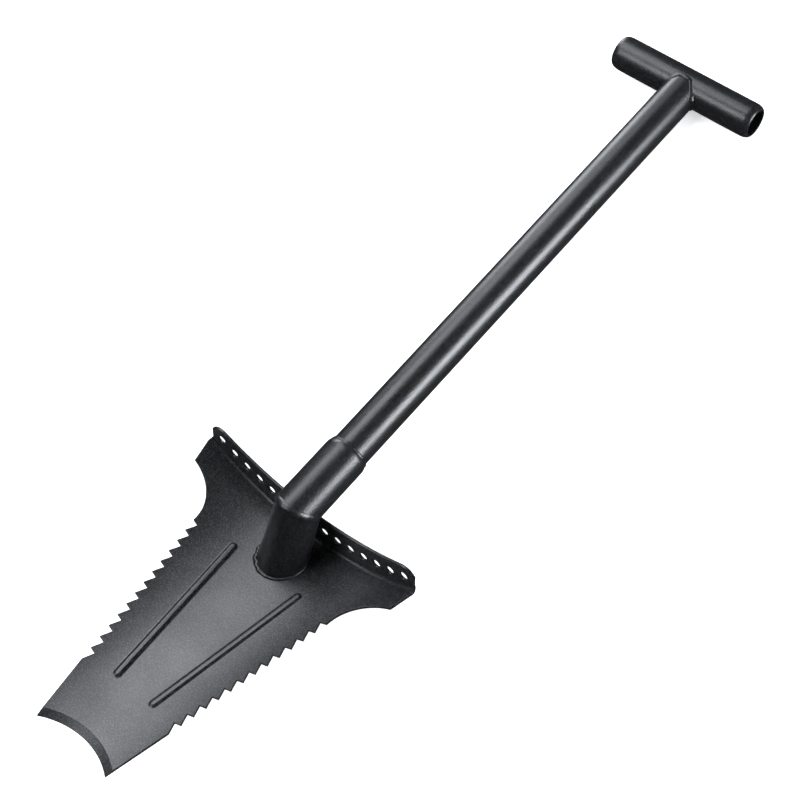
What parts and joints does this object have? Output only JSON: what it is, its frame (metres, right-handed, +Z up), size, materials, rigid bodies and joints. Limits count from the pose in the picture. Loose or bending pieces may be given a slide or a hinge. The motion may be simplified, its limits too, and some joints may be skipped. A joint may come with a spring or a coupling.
{
  "type": "camp shovel",
  "caption": "Short T-handle digging shovel: dished blade with fishtail cutting edge, saw-toothed sides, folded foot step with grip holes, welded elbow socket and tubular shaft.",
  "frame": {"origin": "middle of the footprint of the tool's box, on the ground it lies on", "axes": "+X across the blade and along the T-bar, +Y from the cutting edge to the T-bar, +Z up from the ground, out of the hollow front of the blade"},
  "size_m": [0.188, 0.6562, 0.0684],
  "materials": {
    "blade_coat": "satin charcoal powder coat with a fine grain over pressed steel sheet",
    "tube_coat": "semi-gloss charcoal powder coat with a fine grain over steel tube",
    "weld_coat": "the same powder coat over a rippled weld bead"
  },
  "bodies": {
    "root": {"blade": "blade_coat", "socket_stub": "tube_coat", "socket_sleeve": "tube_coat", "shaft": "tube_coat", "t_handle": "tube_coat", "weld_blade": "weld_coat", "weld_elbow": "weld_coat", "weld_sleeve": "weld_coat", "weld_tee": "weld_coat"}
  },
  "joints": []
}
